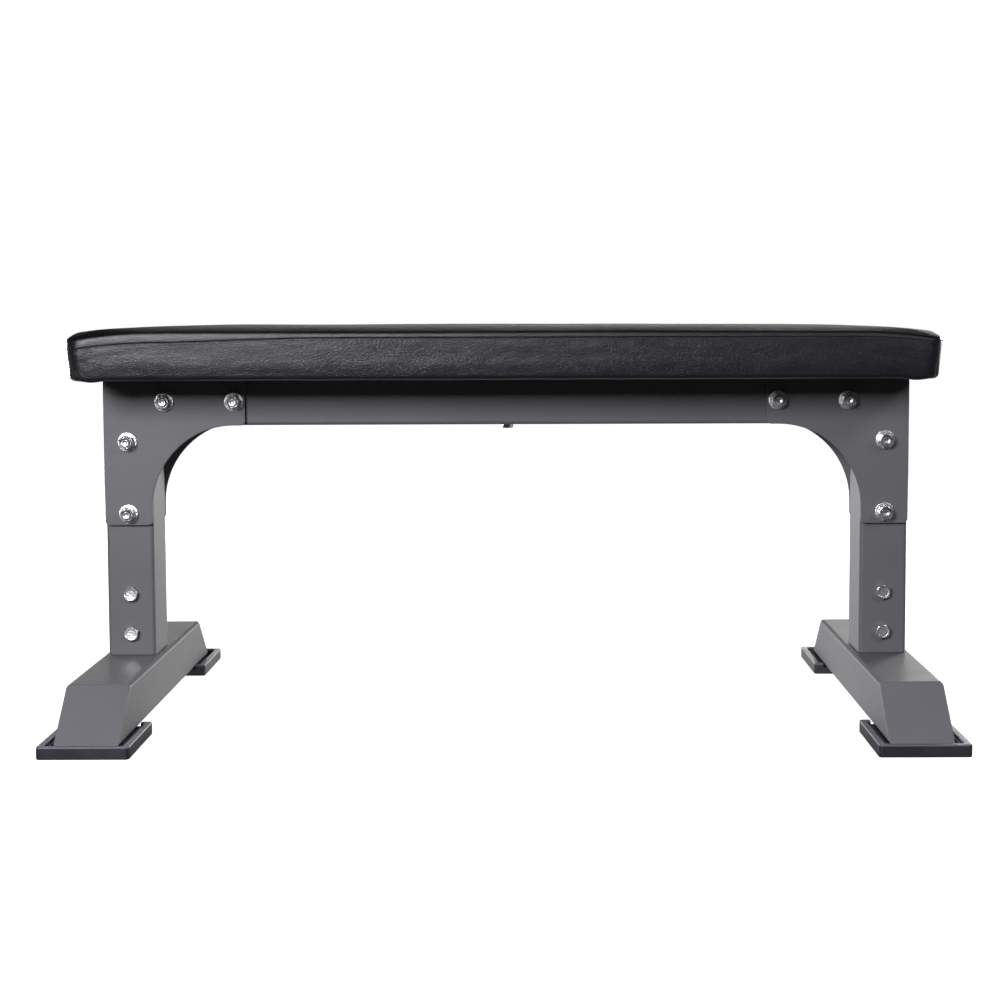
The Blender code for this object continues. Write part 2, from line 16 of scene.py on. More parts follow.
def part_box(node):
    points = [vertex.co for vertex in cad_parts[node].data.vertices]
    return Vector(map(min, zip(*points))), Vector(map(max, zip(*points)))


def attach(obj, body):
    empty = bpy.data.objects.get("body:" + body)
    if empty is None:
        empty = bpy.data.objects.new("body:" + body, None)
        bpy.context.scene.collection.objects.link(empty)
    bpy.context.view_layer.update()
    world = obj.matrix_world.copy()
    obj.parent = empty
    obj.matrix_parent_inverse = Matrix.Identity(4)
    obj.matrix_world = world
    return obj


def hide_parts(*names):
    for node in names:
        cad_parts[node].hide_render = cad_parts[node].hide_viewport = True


INCH = 0.0254
GAP = 0.0003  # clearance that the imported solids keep
SIDES = 48  # of a round loop
ALONG_Y = Matrix.Rotation(pi / 2, 4, "X")

# Tubes and plates of the frame
TUBE_WALL = 0.003
TUBE_RADIUS = 0.0040
TUBE_EDGE = 0.0004
END_PLATE = 0.003
PLATE_EDGE = 0.0008
GUSSET_ARC = 3.5 * INCH
GUSSET_CORNER = 0.005

# Frame fasteners, 3/8 inch
BOLT_RADIUS = 0.375 * INCH / 2
BOLT_HOLE = BOLT_RADIUS + 0.0005
THREAD_PITCH = INCH / 16
THREAD_DEPTH = 0.0008
THREAD_SHOWN = 0.0065
THREAD_TAPER = (0.0013, 0.0012)  # length and depth, at the bolt's tip
HEX_ACROSS = 9 / 16 * INCH
HEAD_HEIGHT = 0.0062
UNDERCUT = 0.0004  # round face under a hexagon head
CHAMFER_RING = 0.475  # of the hexagon's size across its flats
WASHER_RADIUS = 0.0104
WASHER_THICK = 0.0016
WASHER_EDGE = 0.0005
NUT_HEX_HEIGHT = 0.0082
NUT_COLLAR = 0.445  # of the hexagon's size across its flats

# Pad fasteners, 5/16 inch
PAD_BOLT_RADIUS = 5 / 16 * INCH / 2
PAD_HEX_ACROSS = 0.5 * INCH
PAD_HEAD_HEIGHT = 0.0053

# Rubber shoes
SHOE_FLOOR = 0.008
SHOE_WALL = 0.0066
SHOE_CORNER = 0.004
SHOE_EDGE = 0.0010
POCKET_CORNER = 0.002
NOTCH_GAP = 0.0020  # beside the foot, where it passes the inner wall
SCREW_HOLE = 0.0048
SCREW_RECESS = 0.0045

# Pad cover: heights are above the pad's underside, insets are from its plan outline
PAD_TOP = 0.0455  # where the sides turn into the top
FOLD_RISE = 0.0040  # how far the cover rises round that turn
FOLD_RUN = 0.0028
CROWN_RISE = 0.0060  # and from there to its middle
CROWN_RUN = 0.055
CROWN_FULL = 0.110
TOP_START = 0.0030  # inset where the top's grid meets the sides' rows
PAD_CORNER = 0.018
PAD_LEAN = 0.0035
PAD_EDGE = 0.0040
TUCK_START = 0.016
PAD_TUCK = 0.0008  # how far the long sides lean back near their tops
COVER_THICK = 0.0012
CORE_INSET = 0.0045
COVER_FLANGE = 0.025
FINE_ENDS = 0.030  # stretch of finer steps along each end of a side
SEAM = 0.0428  # the seam's height at the pad's middle
SEAM_FALL = 0.0046  # how much lower it is stitched near the left end
SEAM_BEND = (0.18, 0.38)  # where it bends down, left of the middle
SEAM_WIDTH = 0.0005
SEAM_DEPTH = 0.0005
STITCHED_BELOW = 0.0016  # how far under the seam its stitches run
PUCKER = 0.0002  # how far the cover puffs up beside the seam
CORNER_SAG = 0.0096  # how far the soft corners sink
SAG_REACH = 0.090
SAG_START = 0.015
END_FALL = 0.0016  # how far the top falls towards the right end
END_BULGE = (0.0019, 0.0005)  # how far the left and right ends push out
SWELL = (0.00, 0.25, 0.04)  # share of the simulated swelling that is kept
SWELL_CAP = 0.006
PLEAT_DEPTH = 0.0010
HANG = 0.0020  # how far the lower edge hangs beside the corners
STITCH_PITCH = 0.0050
STITCH_LENGTH = 0.0036
STITCH_RADIUS = 0.00035
STAPLE_PITCH = 0.030
STAPLE_HALF = 0.0055
STAPLE_WIRE = 0.0007

# Cloth simulation of the swelling cover
CLOTH_FRAMES = 20
CLOTH = {"quality": 5, "mass": 0.4, "tension_stiffness": 18, "compression_stiffness": 18,
         "shear_stiffness": 8, "bending_stiffness": 3, "use_pressure": True,
         "uniform_pressure_force": 4, "vertex_group_mass": "held"}

# Camera
CAMERA_PLACE = (0.0309, -2.3144, 0.4264)
CAMERA_PITCH = 5.03
CAMERA_YAW = -0.14
CAMERA_ROLL = -0.20
CAMERA_LENS = 76.63
CAMERA_SHIFT = -0.030

# Studio
LIGHT_TARGET = (0.0, 0.0, 0.27)
LIGHT_AWAY = 3.0
ROOM = (0.006, 0.006, 0.007)
BACKDROP = (10.0, 9.7, 9.3)
PAPER = (0.90, 0.90, 0.90)
PAPER_BOUNCE = (0.06, 0.06, 0.06)  # the floor's tone as the bench is lit by it
FLOOR_HALF = 30.0

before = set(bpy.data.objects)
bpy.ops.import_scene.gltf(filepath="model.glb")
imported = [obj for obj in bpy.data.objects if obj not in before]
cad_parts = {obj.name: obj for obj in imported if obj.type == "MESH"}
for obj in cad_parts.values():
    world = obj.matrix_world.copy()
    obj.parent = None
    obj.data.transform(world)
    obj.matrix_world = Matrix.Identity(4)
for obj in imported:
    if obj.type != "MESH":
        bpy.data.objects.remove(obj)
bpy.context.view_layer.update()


# ---- outlines

def arc(centre_x, centre_y, radius, start, end, steps):
    """Points of an arc, its angles in degrees."""
    angles = [radians(start + (end - start) * i / steps) for i in range(steps + 1)]
    return [(centre_x + radius * cos(a), centre_y + radius * sin(a)) for a in angles]


def rounded_rectangle(width, height, radius):
    """Points of a rounded rectangle about the origin, anticlockwise."""
    x, y = width / 2 - radius, height / 2 - radius
    return (arc(x, y, radius, 0, 90, 8) + arc(-x, y, radius, 90, 180, 8)
            + arc(-x, -y, radius, 180, 270, 8) + arc(x, -y, radius, 270, 360, 8))


def tube_outline(width, height, inset):
    """Points of a tube's outline, drawn in by an inset."""
    return rounded_rectangle(width - 2 * inset, height - 2 * inset, TUBE_RADIUS - inset)


def polar(radii):
    """Evenly turned points about the origin, at these radii."""
    turns = [2 * pi * i / len(radii) for i in range(len(radii))]
    return [(radius * cos(turn), radius * sin(turn)) for radius, turn in zip(radii, turns)]


def circle(radius, sides=SIDES):
    """Points of a circle about the origin."""
    return polar([radius] * sides)


def hexagon(across, limit):
    """Points of a hexagon whose corners are cut off at a limiting radius."""
    from_flats = [(2 * pi * i / SIDES + pi / 6) % (pi / 3) - pi / 6 for i in range(SIDES)]
    return polar([min(across / 2 / cos(from_flat), limit) for from_flat in from_flats])


def level(points, height):
    """The outline's points at one height."""
    return [(x, y, height) for x, y in points]


def smoothstep(low, high, value):
    """0 below low, 1 above high, smooth between them."""
    t = np.clip((value - low) / (high - low), 0, 1)
    return t * t * (3 - 2 * t)


# ---- meshes

def to_mesh(name, shape, sharp=35):
    """Turn a bmesh into a mesh that is smooth up to the given angle."""
    bmesh.ops.recalc_face_normals(shape, faces=shape.faces)
    mesh = bpy.data.meshes.new(name)
    shape.to_mesh(mesh)
    shape.free()
    mesh.shade_smooth()
    mesh.set_sharp_from_angle(angle=radians(sharp))
    return mesh


def join_rows(shape, rows, caps=True):
    """Make faces between closed rows of vertices, and over the end rows."""
    if caps:
        shape.faces.new(rows[0])
        shape.faces.new(rows[-1])
    for lower, upper in zip(rows, rows[1:]):
        for corners in zip(lower, lower[1:] + lower[:1], upper[1:] + upper[:1], upper):
            shape.faces.new(corners)


def skin(name, loops, ring=False, sharp=35):
    """Skin loops of equal length, capped at both ends or joined as a ring."""
    shape = bmesh.new()
    rows = [[shape.verts.new(point) for point in loop] for loop in loops]
    join_rows(shape, rows + rows[:1] if ring else rows, not ring)
    return to_mesh(name, shape, sharp)


def edge_steps(thick, edge, steps=3):
    """(height, inset) pairs through a plate, round both its edges."""
    turn = [(edge * (1 - cos(pi / 2 * i / steps)), edge * (1 - sin(pi / 2 * i / steps)))
            for i in range(steps + 1)]
    return turn + [(thick - height, inset) for height, inset in reversed(turn)]


def plate(name, outline, holes, thick, edge, place):
    """A flat plate with soft edges: outline(inset) gives its points, holes are (u, v, radius),
    and place(u, v, w) puts a point that is w through its thickness into the bench.
    """
    def hole_outline(u, v, radius):
        """A function that gives a hole's points, widened by an inset."""
        return lambda inset: [(u + x, v + y) for x, y in circle(radius + inset)]

    shape = bmesh.new()
    ends = ([], [])
    for points_at in [outline] + [hole_outline(*hole) for hole in holes]:
        rows = [[shape.verts.new(place(u, v, height)) for u, v in points_at(inset)]
                for height, inset in edge_steps(thick, edge)]
        join_rows(shape, rows, False)
        for edges, row in zip(ends, (rows[0], rows[-1])):
            edges += [shape.edges.get((row[i - 1], row[i])) for i in range(len(row))]
    for edges in ends:
        bmesh.ops.triangle_fill(shape, use_beauty=True, edges=edges)
    return to_mesh(name, shape)


def add_object(name, data, place=None):
    """Put an object into the scene."""
    thing = bpy.data.objects.new(name, data)
    if place is not None:
        thing.matrix_world = place
    bpy.context.scene.collection.objects.link(thing)
    return thing


def add_piece(name, mesh, slot, *stands_for, place=None, material=None):
    """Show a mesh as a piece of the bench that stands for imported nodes."""
    if not mesh.materials:
        mesh.materials.append(material or finishes[slot])
    piece = add_object(name, mesh, place)
    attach(piece, "root")
    if stands_for:
        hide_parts(*stands_for)
    return piece


def even_normals(piece):
    """Let the large flat faces lead the shading, so that they stay flat."""
    modifier = piece.modifiers.new("even_normals", "WEIGHTED_NORMAL")
    modifier.keep_sharp, modifier.weight = True, 100


def settle(piece, sharp=35):
    """Replace a piece's mesh by what its modifiers make of it."""
    graph = bpy.context.evaluated_depsgraph_get()
    mesh = bpy.data.meshes.new_from_object(piece.evaluated_get(graph))
    mesh.name = piece.name
    piece.modifiers.clear()
    piece.data = mesh
    mesh.shade_smooth()
    mesh.set_sharp_from_angle(angle=radians(sharp))


def cut(piece, meshes_and_places):
    """Cut solids out of a piece."""
    cutters = [add_object("cutter", mesh, place) for mesh, place in meshes_and_places]
    for cutter in cutters:
        modifier = piece.modifiers.new("cut", "BOOLEAN")
        modifier.operation, modifier.object = "DIFFERENCE", cutter
    bpy.context.view_layer.update()
    settle(piece)
    for cutter in cutters:
        bpy.data.objects.remove(cutter)


def rod(name, radius, start, end):
    """A plain round cutter along Z."""
    return skin(name, [level(circle(radius, 32), start), level(circle(radius, 32), end)])


def drill(piece, nodes, radius, turn=Matrix.Identity(4)):
    """Drill a piece where the named bolts pass, along Z or as turned from it."""
    mesh = rod("drill", radius, -0.1, 0.1)
    cut(piece, [(mesh, Matrix.Translation(middle(node)) @ turn) for node in nodes])


def middle(node):
    """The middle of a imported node's box."""
    low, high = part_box(node)
    return (low + high) / 2


# ---- materials

def new_material(name, colour, roughness, metallic=0.0, **sockets):
    """A Principled material and its node tree."""
    material = bpy.data.materials.new(name)
    material.use_nodes = True
    sockets.update(Base_Color=(*colour, 1.0), Roughness=roughness, Metallic=metallic)
    shader = material.node_tree.nodes["Principled BSDF"]
    for socket, value in sockets.items():
        shader.inputs[socket.replace("_", " ")].default_value = value
    return material, material.node_tree


def add_node(tree, kind, inputs, out=0, **settings):
    """Add a node and return one of its outputs; inputs are values or outputs."""
    node = tree.nodes.new("ShaderNode" + kind)
    for key, value in settings.items():
        setattr(node, key, value)
    for key, value in inputs.items():
        if isinstance(value, bpy.types.NodeSocket):
            tree.links.new(value, node.inputs[key])
        else:
            node.inputs[key].default_value = value
    return node.outputs[out]


def object_place(tree, scale=(1.0, 1.0, 1.0)):
    """The surface's place in the piece's own space, stretched by scale."""
    place = add_node(tree, "TexCoord", {}, "Object")
    return add_node(tree, "Mapping", {"Vector": place, "Scale": scale})


def axes(tree, vector):
    """A vector's X, Y and Z."""
    return add_node(tree, "SeparateXYZ", {0: vector}).node.outputs


def noise_at(tree, place, scale, detail=3.0, roughness=0.5, distortion=0.0):
    """A noise texture's grey value."""
    return add_node(tree, "TexNoise", {"Vector": place, "Scale": scale, "Detail": detail,
                                       "Roughness": roughness, "Distortion": distortion})


def ramp(tree, value, *stops):
    """A colour ramp through (position, colour) stops."""
    colours = add_node(tree, "ValToRGB", {"Fac": value})
    elements = colours.node.color_ramp.elements
    while len(elements) < len(stops):
        elements.new(0.5)
    for element, (position, colour) in zip(elements, stops):
        element.position = position
        element.color = (*colour, 1.0)
    return colours


def spread(tree, value, low, high):
    """Stretch a 0 to 1 value to run from low to high."""
    return add_node(tree, "MapRange", {"Value": value, "To Min": low, "To Max": high})


def stretch(tree, value, start, end, low=0.0, high=1.0):
    """Map start to end onto low to high, smoothly and held at both ends."""
    return add_node(tree, "MapRange", {"Value": value, "From Min": start, "From Max": end,
                                       "To Min": low, "To Max": high},
                    interpolation_type="SMOOTHSTEP")


def compute(tree, operation, *values):
    """The result of a Math node."""
    return add_node(tree, "Math", dict(enumerate(values)), operation=operation)


def mix_values(tree, share, first, second):
    """A value between two others."""
    return add_node(tree, "Mix", {0: share, 2: first, 3: second}, data_type="FLOAT")


def mix_colours(tree, share, first, second):
    """A colour between two others; each is an output or an RGB tuple."""
    first, second = [(*tone, 1.0) if isinstance(tone, tuple) else tone
                     for tone in (first, second)]
    return add_node(tree, "Mix", {0: share, 6: first, 7: second}, 2, data_type="RGBA")


def wire(material, sockets, *bumps):
    """Feed a shader's sockets, and stack (height, strength, distance) bumps on it."""
    tree = material.node_tree
    shader = tree.nodes["Principled BSDF"]
    normal = {}
    for height, strength, distance in bumps:
        inputs = {"Height": height, "Strength": strength, "Distance": distance}
        normal = {"Normal": add_node(tree, "Bump", {**inputs, **normal})}
    for socket, output in {**sockets, **normal}.items():
        tree.links.new(output, shader.inputs[socket])
    return material


def powder_coat(name, dark, light):
    """Satin powder coat: orange peel, faint flecks, duller round the corners."""
    material, tree = new_material(name, light, 0.45)
    place = object_place(tree)
    fleck = noise_at(tree, place, 2600.0, 1.0)
    peel = noise_at(tree, place, 620.0, 2.0, 0.55)
    tone = ramp(tree, noise_at(tree, place, 9.0, 2.0), (0.30, dark), (0.70, light))
    flecks = ramp(tree, fleck, (0.62, (0, 0, 0)), (0.74, (0.5, 0.5, 0.5)))
    normal = add_node(tree, "NewGeometry", {}, "Normal")
    x, y, z = axes(tree, add_node(tree, "VectorMath", {0: normal}, operation="ABSOLUTE"))
    flattest = compute(tree, "MAXIMUM", compute(tree, "MAXIMUM", x, z), y)
    corner = stretch(tree, flattest, 0.97, 0.88)
    flat = spread(tree, noise_at(tree, place, 40.0, 4.0), 0.40, 0.52)
    return wire(material, {"Base Color": mix_colours(tree, flecks, tone, (0.20, 0.20, 0.21)),
                           "Roughness": mix_values(tree, corner, flat, 0.95)},
                (peel, 0.22, 0.00012), (fleck, 0.10, 0.00004))


def zinc(name, colour, low, high):
    """Bright zinc plate: faint clouding, small dents and fine turned lines."""
    material, tree = new_material(name, colour, 0.22, 1.0)
    place = object_place(tree)
    cloud = noise_at(tree, place, 260.0, 4.0, 0.6)
    lines = noise_at(tree, object_place(tree, (1.0, 1.0, 9.0)), 900.0, 2.0)
    dents = noise_at(tree, place, 430.0, 2.0, 0.6)
    darker = tuple(0.80 * c for c in colour)
    return wire(material, {"Base Color": ramp(tree, cloud, (0.32, darker), (0.66, colour)),
                           "Roughness": spread(tree, cloud, low, high)},
                (dents, 0.80, 0.00055), (lines, 0.10, 0.00005), (cloud, 0.08, 0.00010))


def moulded(name, colour, roughness, grain, depth, rim=None):
    """Moulded rubber or plastic: fine grain, scuffs, and a painted highlight along the rim at a
    height.
    """
    material, tree = new_material(name, colour, roughness)
    place = object_place(tree)
    fine = noise_at(tree, place, grain, 2.0, 0.6)
    scuff = noise_at(tree, place, 35.0, 5.0, 0.6)
    tone = ramp(tree, scuff, (0.45, colour), (0.85, tuple(1.7 * c for c in colour)))
    # the lighter band along the top of the rim is a painted highlight, standing in for the
    # light that the edge catches
    if rim is not None:
        height = axes(tree, place)["Z"]
        painted_rim_highlight = stretch(tree, height, rim - 0.0022, rim - 0.0008, 0.0, 0.9)
        tone = mix_colours(tree, painted_rim_highlight, tone, tuple(6.0 * c for c in colour))
    rough = spread(tree, scuff, roughness - 0.06, roughness + 0.10)
    return wire(material, {"Base Color": tone, "Roughness": rough}, (fine, 0.35, depth))


def vinyl():
    """Black vinyl: leather grain and fine creases along the bench, duller on top."""
    material, tree = new_material("pad_vinyl", (0.007, 0.007, 0.009), 0.34,
                                  Specular_IOR_Level=0.60)
    place = object_place(tree)
    creases = noise_at(tree, object_place(tree, (1.0, 1.0, 1.6)), 360.0, 2.0, 0.65, 0.8)
    folds = noise_at(tree, object_place(tree, (1.0, 1.0, 2.8)), 42.0, 2.0, 0.5, 0.8)
    cells = add_node(tree, "TexVoronoi", {"Vector": object_place(tree, (1.0, 1.0, 1.5)),
                                          "Scale": 400.0}, "Distance",
                     feature="DISTANCE_TO_EDGE")
    grain = ramp(tree, cells, (0.00, (0, 0, 0)), (0.25, (1, 1, 1)))
    tone = ramp(tree, noise_at(tree, place, 14.0, 3.0), (0.35, (0.0050, 0.0050, 0.0085)),
                (0.70, (0.0080, 0.0080, 0.0125)))
    upward = axes(tree, add_node(tree, "NewGeometry", {}, "Normal"))["Z"]
    patches = noise_at(tree, place, 120.0, 4.0)
    rough = mix_values(tree, stretch(tree, upward, 0.93, 0.99),
                       spread(tree, patches, 0.33, 0.41), spread(tree, patches, 0.45, 0.53))
    return wire(material, {"Base Color": tone, "Roughness": rough},
                (folds, 0.10, 0.00030), (creases, 0.80, 0.00034), (grain, 0.60, 0.00011))


def thread():
    """Black polyester sewing thread with its twist."""
    material, tree = new_material("thread", (0.012, 0.012, 0.013), 0.65)
    twist = add_node(tree, "TexWave", {"Vector": object_place(tree), "Scale": 900.0},
                     wave_type="BANDS", bands_direction="DIAGONAL")
    return wire(material, {}, (twist, 0.5, 0.0001))


def plywood():
    """Plywood with a dark stain: long grain on the faces."""
    material, tree = new_material("plywood", (0.070, 0.052, 0.038), 0.70)
    grain = noise_at(tree, object_place(tree, (1.0, 14.0, 14.0)), 26.0, 6.0, 0.65, 0.8)
    pores = noise_at(tree, object_place(tree, (1.0, 30.0, 30.0)), 160.0, 2.0)
    tone = ramp(tree, grain, (0.30, (0.040, 0.028, 0.020)), (0.55, (0.075, 0.056, 0.040)),
                (0.80, (0.110, 0.085, 0.062)))
    return wire(material, {"Base Color": tone}, (grain, 0.3, 0.0004), (pores, 0.3, 0.0002))


def foam():
    """Open-cell foam."""
    material, tree = new_material("foam", (0.58, 0.52, 0.38), 0.95)
    pores = add_node(tree, "TexVoronoi", {"Vector": object_place(tree), "Scale": 700.0},
                     "Distance")
    tone = ramp(tree, pores, (0.1, (0.42, 0.36, 0.24)), (0.6, (0.62, 0.56, 0.42)))
    return wire(material, {"Base Color": tone}, (pores, 0.8, 0.0006))


# ---- frame

def tube(name, node, order):
    """Tube that fills a node's box; order is its cross axes, then its length."""
    low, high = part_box(node)
    centre, size = (low + high) / 2, high - low
    u, v, w = order

    def section(inset, along):
        """One cross-section."""
        loop = []
        for across, up in tube_outline(size[u], size[v], inset):
            point = [0.0, 0.0, 0.0]
            point[u], point[v], point[w] = centre[u] + across, centre[v] + up, along
            loop.append(point)
        return loop

    start, end = low[w], high[w]
    loops = [section(TUBE_EDGE, start), section(0, start + TUBE_EDGE),
             section(0, end - TUBE_EDGE), section(TUBE_EDGE, end), section(TUBE_WALL, end),
             section(TUBE_WALL, start)]
    return add_piece(name, skin(name, loops, ring=True), "frame_coat", node)


def bolts_of(side, member):
    """The two bolts of one member at one end."""
    return [f"{side}_{member}_bolt_{number}" for number in (1, 2)]


def add_upright(side):
    """Upright tube with its four cross holes."""
    upright = tube(f"{side}_upright_tube", f"{side}_upright", (0, 1, 2))
    drill(upright, bolts_of(side, "upright") + bolts_of(side, "foot"), BOLT_HOLE, ALONG_Y)
    even_normals(upright)


def add_beam():
    """The long tube over the uprights, and the plugs in its ends."""
    beam = tube("beam_tube", "main_beam", (1, 2, 0))
    drill(beam, bolts_of("left", "beam") + bolts_of("right", "beam"), BOLT_HOLE, ALONG_Y)
    drill(beam, [f"{place}_pad_bolt" for place in ("left", "middle", "right")],
          PAD_BOLT_RADIUS + 0.0005)
    even_normals(beam)
    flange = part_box("main_beam")[1].x + GAP
    for side, outward in (("left", -1), ("right", 1)):
        low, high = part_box(f"{side}_beam_cap")
        inner, outer = sorted((abs(low.x), abs(high.x)))
        centre_z = (low.z + high.z) / 2
        loops = [[(outward * x, y, centre_z + z)
                  for y, z in tube_outline(high.y - low.y, high.z - low.z, inset)]
                 for x, inset in ((inner, TUBE_WALL), (flange, TUBE_WALL), (flange, 0),
                                  (outer - 0.0012, 0), (outer - 0.0004, 0.0004),
                                  (outer, 0.0012))]
        name = f"{side}_beam_plug"
        even_normals(add_piece(name, skin(name, loops), "cap_plastic", f"{side}_beam_cap"))


def add_foot(side, painted_light_plate_coat):
    """Foot tube with sloping ends, and the plates on them."""
    low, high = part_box(f"{side}_foot")
    centre = (low + high) / 2
    width, height = high.x - low.x, high.z - low.z
    plate_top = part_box(f"{side}_front_end_plate")[1].y  # its inner face, at the foot's top
    slope = 0.0  # Y for each metre down
    for _ in range(20):
        along = sqrt(1 + slope * slope)  # Y for each metre of thickness
        slope = (plate_top - low.y + along * GAP) / height
    half = along * END_PLATE - plate_top + slope * height / 2  # half length at mid height

    def section(inset, end, back):
        """An outline on the sloping end plane, set back from its outer face."""
        return [(centre.x + x, end * (half - z * slope - back * along), centre.z + z)
                for x, z in tube_outline(width, height, inset)]

    name = f"{side}_foot_tube"
    loops = [section(inset, end, END_PLATE)
             for inset, end in ((0, -1), (0, 1), (TUBE_WALL, 1), (TUBE_WALL, -1))]
    even_normals(add_piece(name, skin(name, loops, ring=True), "frame_coat", f"{side}_foot"))
    for end_name, end in (("front", -1), ("rear", 1)):
        loops = [section(0, end, END_PLATE)]
        loops += [section(inset, end, back)
                  for back, inset in reversed(edge_steps(END_PLATE, PLATE_EDGE, 4)[:5])]
        name = f"{side}_{end_name}_foot_plate"
        # the end plates take a lighter copy of the coat: painted light, standing in for light
        # from above on their sloping faces
        even_normals(add_piece(name, skin(name, loops), "frame_coat",
                               f"{side}_{end_name}_end_plate", material=painted_light_plate_coat))


def gusset_outline(side, node):
    """A function that gives a gusset's outline in X and Z, drawn in by an inset."""
    low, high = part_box(node)
    beam_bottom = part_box("main_beam")[0].z
    outward = 1 if side == "right" else -1
    arm_end, outside = sorted((outward * low.x, outward * high.x))
    inside = min(outward * corner.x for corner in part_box(f"{side}_upright"))

    def outline(inset):
        """Points round the plate."""
        corner = GUSSET_CORNER - inset
        sweep = GUSSET_ARC + inset
        left, right = arm_end + inset, outside - inset
        bottom, under, top = low.z + inset, beam_bottom + inset, high.z - inset
        step = inside + inset
        points = [arc(right - corner, top - corner, corner, 0, 90, 6),
                  arc(left + corner, top - corner, corner, 90, 180, 6),
                  arc(left + corner, under + corner, corner, 180, 270, 6),
                  arc(step - sweep, under - sweep, sweep, 90, 0, 40),
                  arc(step + corner, bottom + corner, corner, 180, 270, 6),
                  arc(right - corner, bottom + corner, corner, 270, 360, 6)]
        return [(outward * x, z) for x, z in sum(points, [])]

    return outline


def add_gusset(side, face_name):
    """One L plate, with its four holes."""
    node = f"{side}_{face_name}_gusset"
    low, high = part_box(node)
    holes = [(middle(bolt).x, middle(bolt).z, BOLT_HOLE)
             for bolt in bolts_of(side, "beam") + bolts_of(side, "upright")]
    mesh = plate(node + "_plate", gusset_outline(side, node), holes, high.y - low.y,
                 PLATE_EDGE, lambda x, z, y: (x, low.y + y, z))
    even_normals(add_piece(node + "_plate", mesh, "frame_coat", node))


# ---- fasteners

def round_loops(*profile):
    """Circles about Z, from (radius, height) pairs."""
    return [level(circle(radius), z) for radius, z in profile]


def hex_rows(across, bottom, top, cut_top):
    """Loops up a hexagon with its corners chamfered below, and above if asked."""
    corner = across / sqrt(3)
    ring = across * CHAMFER_RING
    rise = (corner - ring) * 0.577
    parts = [0, 1 / 3, 2 / 3, 1]
    loops = [level(hexagon(across, ring + (corner - ring) * t), bottom + rise * t)
             for t in parts]
    if not cut_top:
        return loops + [level(hexagon(across, corner), top)]
    return loops + [level(hexagon(across, corner - (corner - ring) * t), top - rise * (1 - t))
                    for t in parts]


def thread_rows(radius, start, end):
    """Loops of a helical thread along +Z."""
    count = round((end - start) / (THREAD_PITCH / 8))
    taper_length, taper_depth = THREAD_TAPER
    loops = []
    for row in range(count + 1):
        z = start + (end - start) * row / count
        taper = max(0.0, (z - (end - taper_length)) / taper_length) * taper_depth
        phases = [(z / THREAD_PITCH - i / SIDES) % 1.0 for i in range(SIDES)]
        radii = [radius - max(THREAD_DEPTH * (1 - abs(2 * phase - 1)), taper)
                 for phase in phases]
        loops.append(level(polar(radii), z))
    return loops


def bolt_mesh(name, radius, across, head, length):
    """Hex bolt along +Z: its head hangs below zero, its shank ends at length."""
    dish = across * 0.36
    under = across * CHAMFER_RING
    loops = round_loops((dish * 0.55, -head + 0.0006), (dish * 0.94, -head + 0.0005),
                        (dish, -head + 0.0001), (dish * 1.04, -head))
    loops += hex_rows(across, -head, -UNDERCUT, False)
    loops += round_loops((under, -UNDERCUT), (under, 0.0), (radius, 0.0),
                         (radius, length - THREAD_SHOWN))
    loops += thread_rows(radius, length - THREAD_SHOWN, length)
    # the tip has a shallow centre mark
    loops += round_loops((radius * 0.64, length), (radius * 0.40, length - 0.0002),
                         (radius * 0.24, length - 0.0006))
    return skin(name, loops, sharp=28)


def nut_mesh(name):
    """Locknut along +Z from zero, with a crimped collar."""
    top = NUT_HEX_HEIGHT
    bore = BOLT_RADIUS + 0.00015
    collar = HEX_ACROSS * NUT_COLLAR
    loops = hex_rows(HEX_ACROSS, 0.0, top, True)
    crimp = ((0, 0.0002), (0, 0.0017), (0.0001, 0.0021), (0.0003, 0.0025), (0.0006, 0.0028),
             (0.0009, 0.0028), (0.0010, 0.0025), (0.0010, 0.0012))
    loops += round_loops(*((collar - inset, top + rise) for inset, rise in crimp),
                         (bore, top + 0.0012), (bore, 0.0))
    return skin(name, loops, ring=True, sharp=28)


def insert_mesh(name):
    """The nylon ring in a locknut's collar."""
    top = NUT_HEX_HEIGHT
    outer = HEX_ACROSS * NUT_COLLAR - 0.00105
    inner = BOLT_RADIUS - 0.0001
    loops = round_loops((outer, top + 0.0013), (outer, top + 0.0021),
                        (outer - 0.0002, top + 0.0023), (inner + 0.0002, top + 0.0023),
                        (inner, top + 0.0021), (inner, top + 0.0013))
    return skin(name, loops, ring=True)


def washer_mesh(name):
    """Flat washer from zero up, with the soft edge of a stamping."""
    return plate(name, lambda inset: circle(WASHER_RADIUS - inset), [(0, 0, BOLT_HOLE)],
                 WASHER_THICK, WASHER_EDGE, lambda x, y, z: (x, y, z))


def shared(name, make, *sizes):
    """A mesh that is made once and then used again."""
    return bpy.data.meshes.get(name) or make(name, *sizes)


